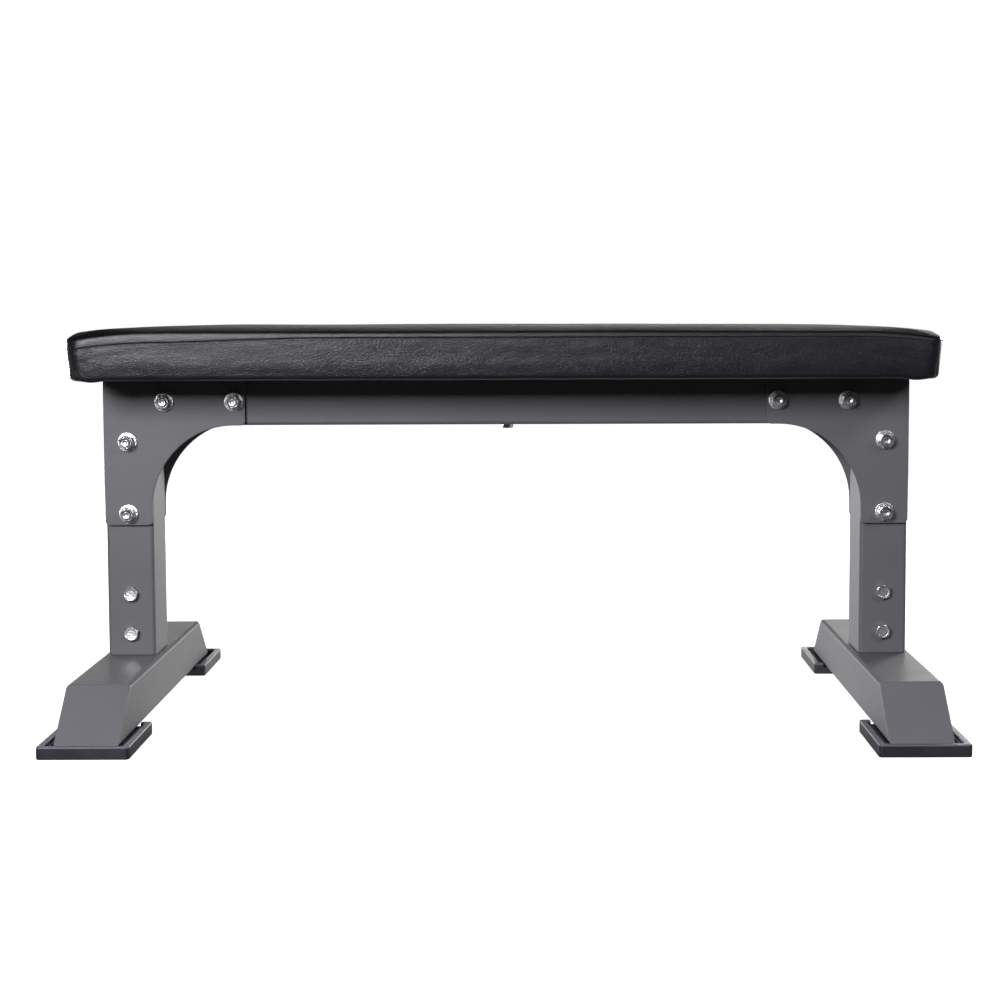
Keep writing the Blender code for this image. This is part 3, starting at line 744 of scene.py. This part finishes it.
def add_fasteners(side):
    """Every bolt, nut and washer at one end of the frame."""
    washer = shared("washer", washer_mesh)
    turn = 11 if side == "left" else 29
    for member, number in product(("beam", "upright", "foot"), (1, 2)):
        bolt_node, nut_node = [f"{side}_{member}_{kind}_{number}" for kind in ("bolt", "nut")]
        bolt_low, bolt_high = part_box(bolt_node)
        nut_low, nut_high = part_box(nut_node)
        centre = middle(bolt_node)
        outward, nut_seat, head_end = 1, nut_low.y, bolt_low.y
        if nut_low.y < centre.y:
            outward, nut_seat, head_end = -1, nut_high.y, bolt_high.y
        turn = (turn * 7 + 13) % 60

        def put(kind, mesh, slot, y, towards, spin, *stands_for):
            """Show a fastener on the bolt's line, its +Z turned towards +Y or -Y."""
            place = (Matrix.Translation((centre.x, y, centre.z))
                     @ Matrix.Rotation(-pi / 2 * towards, 4, "X")
                     @ Matrix.Rotation(radians(spin), 4, "Z"))
            add_piece(f"{side}_{member}_{kind}_{number}", mesh, slot, *stands_for,
                      place=place)

        bolt = shared("foot_bolt" if member == "foot" else "gusset_bolt", bolt_mesh,
                      BOLT_RADIUS, HEX_ACROSS, HEAD_HEIGHT,
                      bolt_high.y - bolt_low.y - HEAD_HEIGHT)
        head_face = head_end + outward * HEAD_HEIGHT
        put("hex_bolt", bolt, "zinc_steel", head_face, outward, turn, bolt_node)
        if member != "foot":
            put("head_washer", washer, "zinc_steel", head_face + outward * WASHER_THICK,
                -outward, turn)
        put("washer", washer, "zinc_steel", nut_seat, outward, turn + 17)
        nut_seat += outward * WASHER_THICK
        spin = (turn * 5) % 60
        put("locknut", shared("locknut", nut_mesh), "bright_locknut", nut_seat, outward, spin,
            nut_node)
        put("nut_insert", shared("insert", insert_mesh), "cap_plastic", nut_seat, outward, spin)


def add_pad_bolts():
    """The bolts that come up through the beam into the pad."""
    for number, place in enumerate(("left", "middle", "right")):
        node = f"{place}_pad_bolt"
        low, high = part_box(node)
        seat = low.z + PAD_HEAD_HEIGHT
        mesh = shared("pad_hex_bolt", bolt_mesh, PAD_BOLT_RADIUS, PAD_HEX_ACROSS,
                      PAD_HEAD_HEIGHT, high.z - seat)
        matrix = (Matrix.Translation((middle(node).x, middle(node).y, seat))
                  @ Matrix.Rotation(radians(10 + 20 * number), 4, "Z"))
        add_piece(f"{place}_pad_hex_bolt", mesh, "zinc_steel", node, place=matrix)


# ---- shoes

def pocket_outline(side, end, size):
    """Plan of a shoe's pocket about its middle, with a notch round the foot."""
    foot_low, foot_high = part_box(f"{side}_foot")
    wide = size.x / 2 - SHOE_WALL - POCKET_CORNER
    far = size.y / 2 - SHOE_WALL - POCKET_CORNER
    notch = (foot_high.x - foot_low.x) / 2 + NOTCH_GAP
    wall_face = -size.y / 2 + SHOE_WALL
    beyond = -size.y / 2 - 0.010
    points = arc(wide, far, POCKET_CORNER, 0, 90, 4)
    points += arc(-wide, far, POCKET_CORNER, 90, 180, 4)
    points += arc(-wide, -far, POCKET_CORNER, 180, 270, 4)
    points += [(-notch, wall_face), (-notch, beyond), (notch, beyond), (notch, wall_face)]
    points += arc(wide, -far, POCKET_CORNER, 270, 360, 4)
    return [(x, end * y) for x, y in points]


def add_shoe(side, end_name):
    """Rubber tray under one end of a foot, notched for the foot's tube."""
    node = f"{side}_{end_name}_shoe"
    low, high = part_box(node)
    size = high - low
    place = Matrix.Translation(((low.x + high.x) / 2, (low.y + high.y) / 2, low.z))
    outline = rounded_rectangle(size.x, size.y, SHOE_CORNER)
    name = node + "_tray"
    shoe = add_piece(name, skin(name, [level(outline, 0), level(outline, size.z)]),
                     "shoe_rubber", node, place=place)
    pocket = pocket_outline(side, -1 if end_name == "front" else 1, size)
    pocket_mesh = skin("pocket", [level(pocket, SHOE_FLOOR), level(pocket, 2 * size.z)])
    screw = middle(f"{side}_{end_name}_shoe_screw")
    cut(shoe, [(pocket_mesh, place), (rod("bore", SCREW_HOLE, -0.01, SCREW_RECESS),
                                      Matrix.Translation((screw.x, screw.y, low.z)))])
    bevel = shoe.modifiers.new("soft_edges", "BEVEL")
    bevel.width, bevel.segments = SHOE_EDGE, 3
    bevel.limit_method, bevel.angle_limit = "ANGLE", radians(40)
    settle(shoe, 50)
    even_normals(shoe)


# ---- pad

def crown(inset):
    """Height of the cover's top at an inset: the fold, then a slow rise."""
    turn = np.clip(1 - inset / FOLD_RUN, 0, 1)
    fold = FOLD_RISE * np.sqrt(1 - turn ** 2)
    rise = (1 - np.exp(-inset / CROWN_RUN)) / (1 - np.exp(-CROWN_FULL / CROWN_RUN))
    return PAD_TOP + fold + CROWN_RISE * rise


def side_inset(height):
    """Inset of the cover's side at a height: rounded, leaning, then folded in."""
    lean = PAD_LEAN * np.clip(1 - height / PAD_TOP, 0, 1) ** 1.5
    below = np.clip(PAD_EDGE - height, 0, PAD_EDGE)
    rounded = PAD_EDGE - np.sqrt(PAD_EDGE ** 2 - below ** 2)
    insets = TOP_START * 1.2 * np.linspace(0, 1, 200) ** 2
    return lean + rounded + np.interp(height, crown(insets), insets)


def graded(half, fine, coarse):
    """Places from -half to half, with finer steps near both."""
    inner = half - FINE_ENDS
    near = np.linspace(-half, -inner, max(2, round(FINE_ENDS / fine)) + 1)[:-1]
    steps = 2 * max(2, round(inner / coarse))
    return np.concatenate([near, np.linspace(-inner, inner, steps + 1), -near[::-1]])


def plan_point(x, y, half_x, half_y, radius, drawn_in=0.0):
    """Move points of a rectangle onto rounded corners that may draw in."""
    core_x = np.clip(x, radius - half_x, half_x - radius)
    core_y = np.clip(y, radius - half_y, half_y - radius)
    out_x, out_y = x - core_x, y - core_y
    square = np.maximum(np.abs(out_x), np.abs(out_y))
    scale = square / np.maximum(np.hypot(out_x, out_y), 1e-9) * (1 - drawn_in / radius)
    return core_x + out_x * scale, core_y + out_y * scale


def move_vertices(mesh, points):
    """Put a mesh's vertices at the points."""
    mesh.vertices.foreach_set("co", points.astype(np.float32).ravel())
    mesh.update()


def pad_mesh(name, half_x, half_y, base, coarse, fine, closed):
    """The cover as rows round its sides and a grid over its top.

    Returns the mesh, its points, their heights and the slice of them that is stitched.
    """
    top_x, top_y = half_x - TOP_START, half_y - TOP_START
    xs, ys = graded(top_x, fine, coarse), graded(top_y, fine, coarse)
    end_x, end_y = len(xs) - 1, len(ys) - 1
    rim = [(i, 0) for i in range(end_x)] + [(end_x, j) for j in range(end_y)]
    rim += [(i, end_y) for i in range(end_x, 0, -1)] + [(0, j) for j in range(end_y, 0, -1)]
    around = np.array([(xs[i], ys[j]) for i, j in rim])
    if closed:
        top_height = float(crown(TOP_START))
        side_rows = np.concatenate([[0, 0.0024], np.arange(PAD_EDGE, top_height, coarse),
                                    [top_height]])
    else:
        seam_rows = SEAM + np.array([-16, -11, -8, -5, -2.5, 0, 2.5, 5, 8, 12, 17]) * 1e-4
        side_rows = np.concatenate([[0, 0.0004, 0.0012, 0.0024, PAD_EDGE],
                                    np.arange(PAD_EDGE + coarse / 2, SEAM - 0.002, coarse / 2),
                                    seam_rows, crown(TOP_START * np.linspace(0, 1, 7) ** 2)])
    flange = np.linspace(PAD_LEAN + COVER_FLANGE, PAD_LEAN + PAD_EDGE, 7)[:-1]
    vertices, rows = [], []
    for inset, height in ([(inset, 0.0) for inset in flange]
                          + [(side_inset(height), height) for height in side_rows]):
        near = min(inset, PAD_CORNER * 0.6)
        x, y = plan_point(around[:, 0] * half_x / top_x, around[:, 1] * half_y / top_y,
                          half_x, half_y, PAD_CORNER, near)
        rows.append(len(vertices))
        vertices.extend(zip(x * (half_x - inset) / (half_x - near),
                            y * (half_y - inset) / (half_y - near), np.full(len(x), height)))
    count = len(rim)
    faces = []
    for lower, upper in zip(rows, rows[1:]):
        faces += [(lower + i, lower + (i + 1) % count, upper + (i + 1) % count, upper + i)
                  for i in range(count)]
    if closed:
        faces.append(tuple(range(count))[::-1])
    # the grid over the top shares the last row
    index = {cell: rows[-1] + number for number, cell in enumerate(rim)}
    for i, j in product(range(1, end_x), range(1, end_y)):
        index[i, j] = len(vertices)
        inset = TOP_START + min(top_x - abs(xs[i]), top_y - abs(ys[j]))
        vertices.append((*plan_point(xs[i], ys[j], top_x, top_y, PAD_CORNER - TOP_START),
                         crown(inset)))
    faces += [(index[i, j], index[i + 1, j], index[i + 1, j + 1], index[i, j + 1])
              for i, j in product(range(end_x), range(end_y))]
    points = np.array(vertices, float)
    heights = points[:, 2].copy()
    points[:, 2] += base
    mesh = bpy.data.meshes.new(name)
    mesh.from_pydata(points.tolist(), [], faces)
    mesh.update()
    start = rows[len(flange) + int(np.argmin(np.abs(side_rows - (SEAM - STITCHED_BELOW))))]
    return mesh, points, heights, slice(start, start + count)


def soften(points, heights, half_x, half_y):
    """Sink the corners and the right end, curve the seam, shape sides and ends."""
    tuck = np.clip((heights - TUCK_START) / (PAD_TOP - TUCK_START), 0, 1) ** 2
    points[:, 1] *= 1 - PAD_TUCK * tuck / half_y
    x = points[:, 0].copy()
    away = half_x - np.abs(x) + half_y - np.abs(points[:, 1])
    sag = CORNER_SAG * np.clip(1 - away / SAG_REACH, 0, 1) ** 2
    sag *= 1 - 0.10 * np.sign(x)
    points[:, 2] -= sag * smoothstep(SAG_START, PAD_TOP + 0.010, heights)
    fall = END_FALL * smoothstep(0.05, half_x, x)
    points[:, 2] -= fall * smoothstep(SEAM, PAD_TOP, heights)
    bend = SEAM_FALL * smoothstep(*SEAM_BEND, -x) * smoothstep(SAG_START, SEAM, heights)
    points[:, 2] -= bend * (1 - smoothstep(SEAM, PAD_TOP + 0.003, heights))
    bulge = (END_BULGE[1] * smoothstep(0.30, half_x, x)
             - END_BULGE[0] * smoothstep(0.30, half_x, -x))
    points[:, 0] += bulge * smoothstep(0.0, 0.003, heights)


def swell(points, half_x, half_y, base):
    """How a cloth simulation of the filled cover shifts the points."""
    pinch = 0.001
    mesh, start, heights, _ = pad_mesh("swelling_pad", half_x - pinch, half_y - pinch, base,
                                       0.012, 0.010, True)
    soften(start, heights, half_x, half_y)
    move_vertices(mesh, start)
    cloth = add_object("swelling_pad", mesh)
    remesh = cloth.modifiers.new("remesh", "REMESH")
    remesh.mode, remesh.voxel_size = "VOXEL", 0.006
    settle(cloth)
    rest = np.array([vertex.co for vertex in cloth.data.vertices])
    held = cloth.vertex_groups.new(name="held")
    for number, point in enumerate(rest):
        held.add([number], 1 - float(smoothstep(0.004, 0.018, point[2] - base)), "REPLACE")
    modifier = cloth.modifiers.new("cloth", "CLOTH")
    for key, value in CLOTH.items():
        setattr(modifier.settings, key, value)
    modifier.settings.effector_weights.gravity = 0
    modifier.collision_settings.use_collision = False
    modifier.point_cache.frame_start, modifier.point_cache.frame_end = 1, CLOTH_FRAMES
    scene = bpy.context.scene
    for number in range(1, CLOTH_FRAMES + 1):
        scene.frame_set(number)
    settle(cloth)
    scene.frame_set(1)
    shift = np.array([vertex.co for vertex in cloth.data.vertices]) - rest
    length = np.linalg.norm(shift, axis=1, keepdims=True)
    shift *= np.minimum(1.0, SWELL_CAP / np.maximum(length, 1e-9))
    bpy.data.objects.remove(cloth)
    tree = kdtree.KDTree(len(rest))
    for number, point in enumerate(rest):
        tree.insert(point, number)
    tree.balance()
    carried = np.zeros_like(points)
    for number, point in enumerate(points):
        _, nearest, distances = zip(*tree.find_n(point, 6))
        weights = 1 / (np.array(distances) + 0.002) ** 2
        carried[number] = weights @ shift[list(nearest)] / weights.sum()
    # the pad keeps its size, so a plain shift or stretch isn't taken over
    plain = np.column_stack([points, np.ones(len(points))])
    carried -= plain @ np.linalg.lstsq(plain, carried, rcond=None)[0]
    return carried * SWELL


def lumps(points, scale, seed, climb=1.0):
    """Smooth noise from about -1 to 1; a high climb draws it out level."""
    shift = Vector((seed, 2 * seed, 3 * seed))
    return np.array([noise.noise(Vector(point) * scale + shift)
                     for point in points * np.array([1, 1, climb])])


def bell(offset, width):
    """1 where the offset is nothing, fading to 0 over a width."""
    return np.exp(-(offset / width) ** 2)


def dress(mesh, points, heights, half_x, half_y):
    """Seam, puckers, corner pleats and the slack of the vinyl."""
    move_vertices(mesh, points)
    normals = np.zeros(len(points) * 3, np.float32)
    mesh.vertices.foreach_get("normal", normals)
    above = PUCKER * bell(heights - SEAM - 0.0019, 0.0012)
    below = PUCKER * bell(heights - SEAM + 0.0022, 0.0016)
    pucker = lumps(points, 130, 3.0, 0.15)
    shift = -SEAM_DEPTH * bell(heights - SEAM, SEAM_WIDTH) + above * (1 + pucker)
    shift += below * pucker
    # the slack of the sides, in shallow waves that run along them
    on_side = smoothstep(0.002, 0.010, heights) * (1 - smoothstep(SEAM - 0.008, SEAM, heights))
    shift += on_side * 0.00030 * lumps(points, 38, 7.0, 1.8)
    shift += on_side * 0.00016 * lumps(points, 95, 9.0, 3.0)
    on_top = smoothstep(PAD_TOP + 0.002, PAD_TOP + 0.006, heights)
    shift += on_top * 0.0005 * lumps(points, 9, 11.0)
    # pleats where the cover is gathered round the lower corners
    inset_x, inset_y = half_x - np.abs(points[:, 0]), half_y - np.abs(points[:, 1])
    corner = (1 - smoothstep(0.0, 0.022, inset_x)) * (1 - smoothstep(0.0, 0.022, inset_y))
    low = 1 - smoothstep(0.002, 0.020, heights)
    angle = np.arctan2(PAD_CORNER - inset_y, PAD_CORNER - inset_x)
    shift += corner * low * PLEAT_DEPTH * np.sin(14 * angle + 0.7)
    moved = points + normals.reshape(-1, 3).astype(float) * shift[:, None]
    # the lower edge hangs unevenly, most of all beside the corners
    edge = 1 - smoothstep(0.0, 0.008, heights)
    hang = bell(inset_x - 0.026, 0.011) * bell(inset_y - 0.004, 0.010)
    moved[:, 2] -= edge * HANG * hang
    moved[:, 2] += edge * 0.0003 * lumps(points, 55, 5.0)
    return moved


def add_stitches(path):
    """Sewing thread along the seam, stitch by stitch."""
    steps = np.roll(path, -1, axis=0) - path
    lengths = np.linalg.norm(steps, axis=1)
    total = lengths.sum()
    starts = np.concatenate([[0], np.cumsum(lengths)])[:-1]
    count = int(total / STITCH_PITCH)
    shape = bmesh.new()
    for number in range(count):
        here = total * number / count
        place = int(np.searchsorted(starts, here, side="right")) - 1
        t = (here - starts[place]) / lengths[place]
        centre = Vector(path[place] + steps[place] * t)
        tangent = Vector(steps[place]).normalized()
        out = tangent.cross(Vector((0, 0, 1))).normalized()
        up = out.cross(tangent)
        rows = []
        for along, share in ((-0.50, 0.35), (-0.42, 0.80), (-0.22, 1.0), (0.22, 1.0),
                             (0.42, 0.80), (0.50, 0.35)):
            bow = 0.00030 * (1 - (2 * along) ** 2) - 0.00010
            ring_centre = centre + tangent * (along * STITCH_LENGTH) + out * bow
            rows.append([shape.verts.new(ring_centre + STITCH_RADIUS * share
                                         * (out * u + up * v)) for u, v in circle(1, 6)])
        join_rows(shape, rows)
    add_piece("seam_stitches", to_mesh("seam_stitches", shape, 60), "pad_vinyl",
              material=thread())


def add_staples(half_x, half_y, base):
    """Wire staples that hold the cover under the board."""
    inset = PAD_LEAN + COVER_FLANGE - 0.008
    x, y = half_x - inset, half_y - inset
    lines = []
    for sign in (-1, 1):
        lines += [((-x, sign * y, 0), (x, sign * y, 0)), ((sign * x, -y, 0), (sign * x, y, 0))]
    wire_section = ((-0.5, -0.4), (0.5, -0.4), (0.5, 0.4), (-0.5, 0.4))
    shape = bmesh.new()
    for start, end in lines:
        start, run = Vector(start), Vector(end) - Vector(start)
        count = int(run.length / STAPLE_PITCH)
        along = run.normalized()
        across = Vector((-along.y, along.x, 0))
        for number in range(count):
            centre = start + run * ((number + 0.5) / count)
            if abs(centre.y) < 0.045 and abs(centre.x) > 0.38:
                continue  # the beam lies there
            tilt = 0.22 * sin(7.3 * number + 40 * start.x)
            line = (along + across * tilt).normalized()
            side = Vector((-line.y, line.x, 0))
            rows = []
            for place, rise in ((-1.0, 0.0016), (-1.0, 0.0002), (-0.9, 0.0), (0.9, 0.0),
                                (1.0, 0.0002), (1.0, 0.0016)):
                spot = centre + line * (place * STAPLE_HALF)
                rows.append([shape.verts.new(spot + side * (STAPLE_WIRE * u)
                                             + Vector((0, 0, base + rise + STAPLE_WIRE * v)))
                             for u, v in wire_section])
            join_rows(shape, rows)
    add_piece("cover_staples", to_mesh("cover_staples", shape), "zinc_steel")


def add_pad():
    """The padded cover, its seam, its staples and the foam in it."""
    low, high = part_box("pad_cover")
    half_x, half_y = (high.x - low.x) / 2, (high.y - low.y) / 2
    mesh, points, heights, stitched = pad_mesh("upholstered_cover", half_x, half_y, low.z,
                                               0.0045, 0.0025, False)
    soften(points, heights, half_x, half_y)
    carried = swell(points, half_x, half_y, low.z)
    points += carried * smoothstep(0.002, 0.034, heights)[:, None]
    points = dress(mesh, points, heights, half_x, half_y)
    move_vertices(mesh, points)
    mesh.shade_smooth()
    core_x, core_y = half_x - CORE_INSET, half_y - CORE_INSET
    core, places, heights, _ = pad_mesh("foam_core", core_x, core_y, low.z - CORE_INSET,
                                        0.012, 0.008, True)
    soften(places, heights, core_x, core_y)
    places[:, 2] = np.maximum(places[:, 2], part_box("pad_foam")[0].z)
    move_vertices(core, places)
    core.shade_smooth()
    add_piece("foam_core", core, "pad_foam", "pad_foam")
    cover = add_piece("upholstered_cover", mesh, "pad_vinyl", "pad_cover")
    shell = cover.modifiers.new("shell", "SOLIDIFY")
    shell.thickness, shell.offset = COVER_THICK, -1
    add_stitches(points[stitched])
    add_staples(half_x, half_y, low.z)


# ---- studio

def add_area_light(name, turn, rise, width, height, power, colour=(1, 1, 1)):
    """A soft light round the bench; turn 0 is straight before it."""
    turn, rise = radians(turn), radians(rise)
    away = LIGHT_AWAY * Vector((sin(turn) * cos(rise), -cos(turn) * cos(rise), sin(rise)))
    data = bpy.data.lights.new(name, "AREA")
    data.shape = "RECTANGLE"
    data.size, data.size_y = width, height
    data.energy, data.color = power, colour
    light = add_object(name, data)
    light.location = Vector(LIGHT_TARGET) + away
    light.rotation_mode = "QUATERNION"
    light.rotation_quaternion = (-away).to_track_quat("-Z", "Y")


def add_world():
    """A dark room with a bright, low backdrop, plain white to the camera."""
    world = bpy.context.scene.world = bpy.data.worlds.new("studio")
    world.use_nodes = True
    tree = world.node_tree
    tree.nodes.clear()
    x, y, z = axes(tree, add_node(tree, "TexCoord", {}, "Generated"))
    behind = stretch(tree, y, 0.80, 0.92)
    # the backdrop's upper edge climbs to the right, and its lower right corner is darker
    low = stretch(tree, compute(tree, "MULTIPLY_ADD", x, -0.1, z), 0.30, 0.02)
    across = stretch(tree, x, -0.28, -0.10, 0.05, 1.0)
    shaded = compute(tree, "MULTIPLY", stretch(tree, x, 0.02, 0.16),
                     stretch(tree, z, 0.13, 0.07))
    bright = compute(tree, "MULTIPLY", behind, compute(tree, "MULTIPLY", low, low))
    clear = compute(tree, "MULTIPLY", across, spread(tree, shaded, 1.0, 0.45))
    tone = mix_colours(tree, compute(tree, "MULTIPLY", bright, clear), ROOM, BACKDROP)
    room = add_node(tree, "Background", {"Color": tone, "Strength": 1.0})
    seen = add_node(tree, "Background", {"Color": (1, 1, 1, 1), "Strength": 1.0})
    camera_ray = add_node(tree, "LightPath", {}, "Is Camera Ray")
    both = add_node(tree, "MixShader", {0: camera_ray, 1: room, 2: seen})
    output = tree.nodes.new("ShaderNodeOutputWorld")
    tree.links.new(both, output.inputs["Surface"])


def add_floor():
    """A wide floor that glows like a light table, so that its shadows are faint."""
    shape = bmesh.new()
    shape.faces.new([shape.verts.new((x * FLOOR_HALF, y * FLOOR_HALF, 0))
                     for x, y in ((-1, -1), (1, -1), (1, 1), (-1, 1))])
    floor = add_object("floor", to_mesh("floor", shape))
    material, tree = new_material("floor_paper", PAPER, 0.9, Specular_IOR_Level=0.0,
                                  Emission_Color=(1.0, 1.0, 1.0, 1.0))
    depth = axes(tree, add_node(tree, "TexCoord", {}, "Object"))["Y"]
    camera_ray = add_node(tree, "LightPath", {}, "Is Camera Ray")
    strength = mix_values(tree, camera_ray, stretch(tree, depth, -0.22, 0.0, 0.0, 0.42),
                          stretch(tree, depth, 0.8, 4.0, 0.90, 1.0))
    paper = mix_colours(tree, camera_ray, PAPER_BOUNCE, PAPER)
    floor.data.materials.append(wire(material, {"Emission Strength": strength,
                                                "Base Color": paper}))


def add_camera():
    """The camera, a little above the pad's top and right of its middle."""
    data = bpy.data.cameras.new("camera")
    data.sensor_width, data.lens, data.shift_x = 36.0, CAMERA_LENS, CAMERA_SHIFT
    data.clip_start, data.clip_end = 0.05, 60.0
    place = (Matrix.Translation(CAMERA_PLACE)
             @ Matrix.Rotation(radians(-CAMERA_YAW), 4, "Z")
             @ Matrix.Rotation(radians(90 - CAMERA_PITCH), 4, "X")
             @ Matrix.Rotation(radians(CAMERA_ROLL), 4, "Z"))
    bpy.context.scene.camera = add_object("camera", data, place)


def add_studio():
    """Camera, floor, world and lights."""
    add_camera()
    add_floor()
    add_world()
    view = bpy.context.scene.view_settings
    view.view_transform, view.look = "Standard", "None"
    add_area_light("key", -22, 17.5, 1.10, 0.72, 77, (0.97, 0.97, 1.0))
    add_area_light("fill", 42, 27, 0.70, 0.50, 16, (0.97, 0.97, 1.0))
    add_area_light("right_rim", 140, 10, 0.90, 0.40, 75, (1.0, 0.98, 0.97))
    add_area_light("left_rim", 220, 2, 0.90, 0.36, 60)


# ---- bench

def make_finishes():
    """The finish of each of the bench's slots."""
    shoe_low, shoe_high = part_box("left_front_shoe")
    return {
        "frame_coat": powder_coat("powder_coat", (0.121, 0.122, 0.132), (0.134, 0.135, 0.146)),
        "zinc_steel": zinc("zinc_steel", (0.88, 0.89, 0.91), 0.27, 0.40),
        "bright_locknut": zinc("bright_zinc", (0.95, 0.96, 0.98), 0.24, 0.37),
        # the shoe rubber carries a painted highlight along the top of its rim
        "shoe_rubber": moulded("shoe_rubber", (0.027, 0.027, 0.034), 0.36, 1500.0, 0.00008,
                               rim=shoe_high.z - shoe_low.z),
        "cap_plastic": moulded("cap_plastic", (0.018, 0.018, 0.019), 0.42, 1800.0, 0.00005),
        "pad_vinyl": vinyl(), "pad_foam": foam(), "pad_board": plywood()}


def finish_packed_nodes():
    """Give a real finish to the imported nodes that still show."""
    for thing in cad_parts.values():
        if not thing.hide_render:
            material = finishes[thing.material_slots[0].name]
            for place in thing.material_slots:
                place.material = material


def build():
    """Every piece of the bench."""
    # A lighter copy of the powder coat for the foot end plates: painted light, standing in for
    # light from above
    painted_light_plate_coat = powder_coat("end_plate_painted_light", (0.165, 0.166, 0.180), (0.182, 0.183, 0.198))
    for side in ("left", "right"):
        add_upright(side)
        add_foot(side, painted_light_plate_coat)
        for end_name in ("front", "rear"):
            add_gusset(side, end_name)
            add_shoe(side, end_name)
        add_fasteners(side)
    add_beam()
    add_pad_bolts()
    add_pad()
    finish_packed_nodes()


finishes = make_finishes()
build()
add_studio()
bpy.context.view_layer.update()
